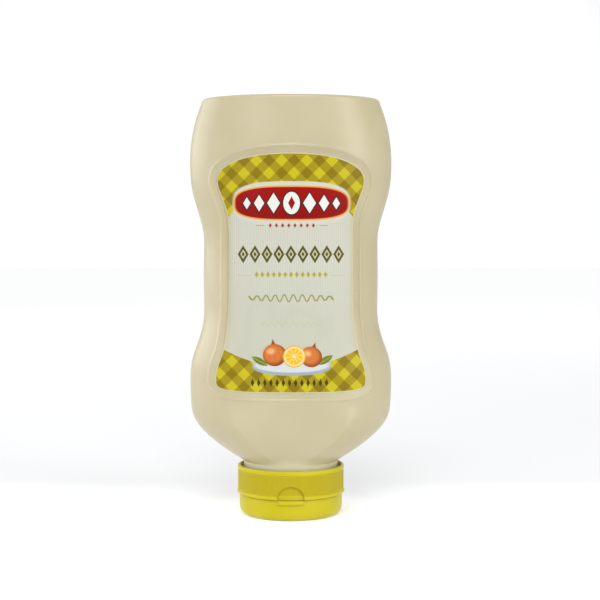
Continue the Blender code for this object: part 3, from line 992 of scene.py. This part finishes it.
def paint_checks(label):
    """Checks on the slant: an upper field with two tips and a lower field with a smiling edge."""
    shade = label.shade
    across = label.x - CHECK_PLACE[0]
    up = label.z - CHECK_PLACE[1]
    period = CHECK_PITCH / math.sqrt(2.0)
    rising = (across + up) / math.sqrt(2.0)
    falling = (across - up) / math.sqrt(2.0)
    first = shade.step(rising.cosine(period), 0.05, -0.05)
    second = shade.step(falling.cosine(period), 0.05, -0.05)
    once = shade.mix(first, CHECK_LIGHT, CHECK_MIDDLE)
    twice = shade.mix(first, CHECK_MIDDLE, CHECK_DARK)
    checks = shade.mix(second, once, twice)
    weave = rising.sine(TWILL_PITCH) * falling.sine(TWILL_PITCH)
    checks = shade.mix(shade.step(weave, -0.6, 0.6) * 0.16, checks, CHECK_DARK)
    tips = (abs(label.x) * -1.0 + 23.3).least(3.5)
    label.paint(tips + 114.8 - label.z, checks, 0.1)
    smile = label.x * label.x * 0.0097 + 58.45
    label.paint(label.z - smile - 0.3, GROUND_LIGHT, 0.15, 0.6)
    label.paint(label.z - smile, checks, 0.1)


def paint_plaque(label):
    """An oval plaque with a gilt rim: white lozenges in a row, and a white oval in the middle."""
    halo = (PLAQUE_HALF[0] + PLAQUE_HALO[0], PLAQUE_HALF[1] + PLAQUE_HALO[1])
    field = (PLAQUE_HALF[0] - PLAQUE_RIM, PLAQUE_HALF[1] - PLAQUE_RIM)
    label.paint(label.oval(PLAQUE_PLACE, halo, PLAQUE_POWER), GROUND_LIGHT, 0.2)
    label.paint(label.oval(PLAQUE_PLACE, PLAQUE_HALF, PLAQUE_POWER), GILT, 0.15)
    red = label.shade.mix(label.shade.step(label.z, 115.0, 124.0), RED_DARK, RED_LIGHT)
    label.paint(label.oval(PLAQUE_PLACE, field, PLAQUE_POWER), red, 0.12)
    x, z = PLAQUE_PLACE
    for reach, size in PLAQUE_LOZENGES:
        half = (PLAQUE_LOZENGE_HALF[0] * size, PLAQUE_LOZENGE_HALF[1] * size)
        for side in (-1.0, 1.0):
            paint_inked(label, label.lozenges((x + side * reach, z), 1, 1.0, half))
    paint_inked(label, label.oval((x, z), PLAQUE_OVAL_HALF))
    label.paint(label.lozenges((x, z), 1, 1.0, PLAQUE_CENTRE_HALF), RED_LIGHT)


def paint_inked(label, outer):
    """A white shape with a dark outline."""
    label.paint(outer, INK)
    label.paint(outer + INK_WIDTH, WHITE_INK)


def paint_rows(label):
    """Rows of small shapes where lines of words would be."""
    for middle, count, pitch, half, colour, soft in LOZENGE_ROWS:
        label.paint(label.lozenges(middle, count, pitch, half), colour, soft)
    label.paint(abs(label.lozenges(*RING_ROW) + RING_INSET) - RING_HALF, OLIVE_DARK, 0.1)
    for height, centre, inner, outer, thickness, colour, strength in RULES:
        label.paint(label.rules(height, centre, inner, outer, thickness), colour, 0.12, strength)
    for height, centre, reach, rise, period, thickness, colour, soft, strength in RIPPLES:
        label.paint(label.ripple(height, centre, reach, rise, period, thickness), colour, soft, strength)


def paint_onion(label, centre, half, turn):
    """A brown onion: a round bulb with curved seams, a light patch and a short dry tip."""
    u, v = label.turned(centre, turn)
    tip = (abs(u) + v * 0.42 - half[1] * 0.62).most(v * -1.0)
    bulb = label.oval(centre, half, 2.0, turn)
    label.paint(tip, ONION_DARK, 0.15)
    label.paint(bulb, ONION_DARK, 0.12)
    lit = (centre[0] - 0.10 * half[0], centre[1] + 0.12 * half[1])
    label.paint(label.oval(lit, (0.86 * half[0], 0.84 * half[1]), 2.0, turn).most(bulb), ONION, 0.9)
    bow = ((v / half[1]) * (v / half[1]) * -0.92 + 1.0).most(0.02).to_power(0.5)
    seams = abs((u / bow).sine(0.9 * half[0])) * (0.25 * half[0]) - 0.10
    label.paint(seams.most(bulb + 0.25), ONION_DARK, 0.16, 0.45)
    spot = (centre[0] - 0.32 * half[0], centre[1] + 0.34 * half[1])
    label.paint(label.oval(spot, (0.30 * half[0], 0.24 * half[1]), 2.0, turn), ONION_LIGHT, 0.8)


def paint_lemon(label, centre, half, turn):
    """A halved lemon seen on its cut face: rind, pith and segments parted by thin skins."""
    face = label.oval(centre, half, 2.0, turn)
    label.paint(face, LEMON_RIND, 0.12)
    label.paint(face + 0.45, PITH, 0.12)
    label.paint(face + 0.95, LEMON, 0.18)
    for spoke in range(LEMON_SPOKES):
        _, across = label.turned(centre, turn + 180.0 * spoke / LEMON_SPOKES)
        label.paint((abs(across) - 0.09).most(face + 0.8), PITH, 0.1)
    label.paint(label.oval(centre, (0.45, 0.40)), PITH, 0.12)


def paint_leaf(label, centre, half, turn):
    """A pointed leaf: the overlap of two rounds, with a pale middle line."""
    u, v = label.turned(centre, turn)
    radius = (half[0] * half[0] + half[1] * half[1]) / (2.0 * half[1])
    reach = abs(v) + (radius - half[1])
    leaf = (u * u + reach * reach).to_power(0.5) - radius
    label.paint(leaf, LEAF, 0.1)
    label.paint((abs(v) - 0.12).most(leaf + 0.3), LEAF_LIGHT, 0.1)


def paint_still_life(label):
    """A halved lemon between two brown onions on a pale dish, with leaves."""
    label.paint(label.oval((0.4, 58.6), (14.6, 3.3), 2.2), PLATE_DARK, 0.15)
    label.paint(label.oval((0.4, 59.2), (13.9, 2.7), 2.2), PLATE_LIGHT, 0.25)
    paint_leaf(label, (-11.6, 60.6), (3.4, 1.2), 152.0)
    paint_leaf(label, (12.9, 61.0), (3.3, 1.2), 30.0)
    paint_onion(label, (-6.0, 62.9), (4.4, 4.1), 8.0)
    paint_onion(label, (7.6, 62.2), (4.1, 3.8), -16.0)
    paint_lemon(label, (1.3, 62.4), (4.3, 4.1), 10.0)


def dress():
    """Make every piece, colour it, and say what it rides on and replaces."""
    cream = cream_plastic()
    skin = bottle_skin()
    skin.data.materials.append(cream)
    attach(skin, "root")
    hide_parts("bottle")
    printed = film_print()
    border = film_border()
    for name, turn in (("label_front", 0.0), ("label_back", math.pi)):
        film = label_film(name.replace("label", "film"))
        film.rotation_euler.z = turn
        film.data.materials.append(printed)
        film.data.materials.append(border)
        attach(film, "root")
        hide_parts(name)
    for piece, node, ribbed in ((cap_skirt(), "cap_skirt", True), (flip_lid(), "flip_lid", False)):
        piece.data.materials.clear()
        piece.data.materials.append(yellow_plastic("yellow_" + node, YELLOW_DARK, YELLOW_LIGHT, ribbed))
        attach(piece, "root")
        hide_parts(node)


def backdrop():
    """A wide pale floor whose far parts are painted as light as the surroundings in each direction, with a
    painted shadow behind the bottle and a painted glow round it.
    """
    corners = [(x * FLOOR_REACH, y * FLOOR_REACH, 0.0) for x, y in ((-1, -1), (1, -1), (1, 1), (-1, 1))]
    floor = mesh_object("pale_floor", corners, [(0, 1, 2, 3)])
    shade = Shader("pale_floor")
    x, y, _ = shade.place()
    away = (x * x + y * y).to_power(0.5)
    facing = y / away
    far = shade.mix(shade.noise(2.0), grey(FLOOR_BACK[0]), grey(FLOOR_BACK[1]))
    # Painted shadow: darker floor behind the bottle.
    near_and_painted_shadow = shade.mix(shade.step(y, *PAINTED_SHADOW_SPAN), FLOOR_NEAR, FLOOR_PAINTED_SHADOW)
    # Painted shade: far floor darker towards the camera, at the sides and on the right, as the surroundings
    # are dimmer there.
    outer = shade.mix(shade.step(facing, *CORNER_SPAN), grey(FLOOR_FRONT), grey(FLOOR_CORNER))
    outer = shade.mix(shade.step(facing, *SIDE_SPAN), outer, grey(FLOOR_SIDE))
    right = shade.step(x / away, *DIM_SPAN) * (1.0 - DIM_RIGHT)
    outer = shade.mix(right, outer, grey(0.0))
    outer = shade.mix(shade.step(facing, *BACK_SPAN), outer, far)
    colour = shade.mix(shade.step(away, *OUTER_SPAN), near_and_painted_shadow, outer)
    shade.plug(shade.surface.inputs["Base Color"], colour)
    # Painted light: the floor glows, most round the cap, lifting the shade there.
    glow = shade.step(away, GLOW_REACH[1], GLOW_REACH[0]) * (FLOOR_GLOW_NEAR - FLOOR_GLOW) + FLOOR_GLOW
    shade.surface.inputs["Emission Color"].default_value = GLOW_COLOUR
    shade.plug(shade.surface.inputs["Emission Strength"], glow)
    shade.surface.inputs["Roughness"].default_value = 0.95
    shade.surface.inputs["Specular IOR Level"].default_value = 0.1
    floor.data.materials.append(shade.material)


def softbox(name, place, size, power):
    """A rectangular area light that points at the bottle."""
    light = bpy.data.lights.new(name, "AREA")
    light.shape = "RECTANGLE"
    light.size = size[0]
    light.size_y = size[1]
    light.energy = power
    made = bpy.data.objects.new(name, light)
    made.location = place
    aim(made, LIGHT_TARGET)
    bpy.context.scene.collection.objects.link(made)


def aim(item, target):
    """Turn a camera or light so that its -Z axis points at the target."""
    run = np.array(target) - np.array(item.location)
    flat = math.hypot(run[0], run[1])
    item.rotation_euler = (math.atan2(flat, -run[2]), 0.0, math.atan2(-run[0], run[1]))


def studio_world():
    """White behind the bottle, dimmer at its sides, on the right and behind the camera."""
    world = bpy.data.worlds.new("studio")
    world.use_nodes = True
    tree = world.node_tree
    split = tree.nodes.new("ShaderNodeSeparateXYZ")
    tree.links.new(tree.nodes.new("ShaderNodeTexCoord").outputs["Generated"], split.inputs[0])
    depth = world_fade(tree, split.outputs[1], (-1.0, 1.0), (0.0, 1.0), "LINEAR")
    ramp = tree.nodes.new("ShaderNodeValToRGB")
    ramp.color_ramp.interpolation = "EASE"
    while len(ramp.color_ramp.elements) < len(STUDIO_STOPS):
        ramp.color_ramp.elements.new(0.5)
    for stop, (place, level) in zip(ramp.color_ramp.elements, STUDIO_STOPS):
        stop.position = 0.5 + 0.5 * place
        stop.color = grey(level)
    tree.links.new(depth, ramp.inputs[0])
    background = tree.nodes["Background"]
    tree.links.new(ramp.outputs[0], background.inputs["Color"])
    side = world_fade(tree, split.outputs[0], DIM_SPAN, (WHITE, WHITE * DIM_RIGHT), "SMOOTHSTEP")
    tree.links.new(side, background.inputs["Strength"])
    bpy.context.scene.world = world


def world_fade(tree, axis, span, strengths, way):
    """A strength that changes over a span of one axis of the direction."""
    fade = tree.nodes.new("ShaderNodeMapRange")
    fade.interpolation_type = way
    tree.links.new(axis, fade.inputs["Value"])
    fade.inputs["From Min"].default_value = span[0]
    fade.inputs["From Max"].default_value = span[1]
    fade.inputs["To Min"].default_value = strengths[0]
    fade.inputs["To Max"].default_value = strengths[1]
    return fade.outputs[0]


def soft_sun():
    """A broad light from the front and above, which throws the soft shadow behind the bottle."""
    light = bpy.data.lights.new("front_top", "SUN")
    light.energy = SUN_STRENGTH
    light.angle = SUN_ANGLE
    made = bpy.data.objects.new("front_top", light)
    made.location = SUN_PLACE
    aim(made, (0.0, 0.0, 0.0))
    bpy.context.scene.collection.objects.link(made)


def lighting():
    for name, place, size, power in SOFTBOXES:
        softbox(name, place, size, power)
    soft_sun()
    studio_world()
    bpy.context.scene.view_settings.view_transform = "Standard"


def camera():
    """The photograph's view."""
    focal = PIXELS_PER_METRE * CAMERA_DISTANCE
    lens = bpy.data.cameras.new("photo_view")
    lens.sensor_width = SENSOR
    lens.lens = SENSOR * focal / PHOTO_SIZE
    lens.clip_start = 0.01
    made = bpy.data.objects.new("photo_view", lens)
    made.location = (0.0, -CAMERA_DISTANCE, CAMERA_HEIGHT)
    tilt = math.atan((0.5 * PHOTO_SIZE - EYE_ROW) / focal)
    turn = math.atan((0.5 * PHOTO_SIZE - AXIS_COLUMN) / focal)
    made.rotation_euler = (0.5 * math.pi - tilt, 0.0, -turn)
    bpy.context.scene.collection.objects.link(made)
    bpy.context.scene.camera = made


dress()
backdrop()
lighting()
camera()
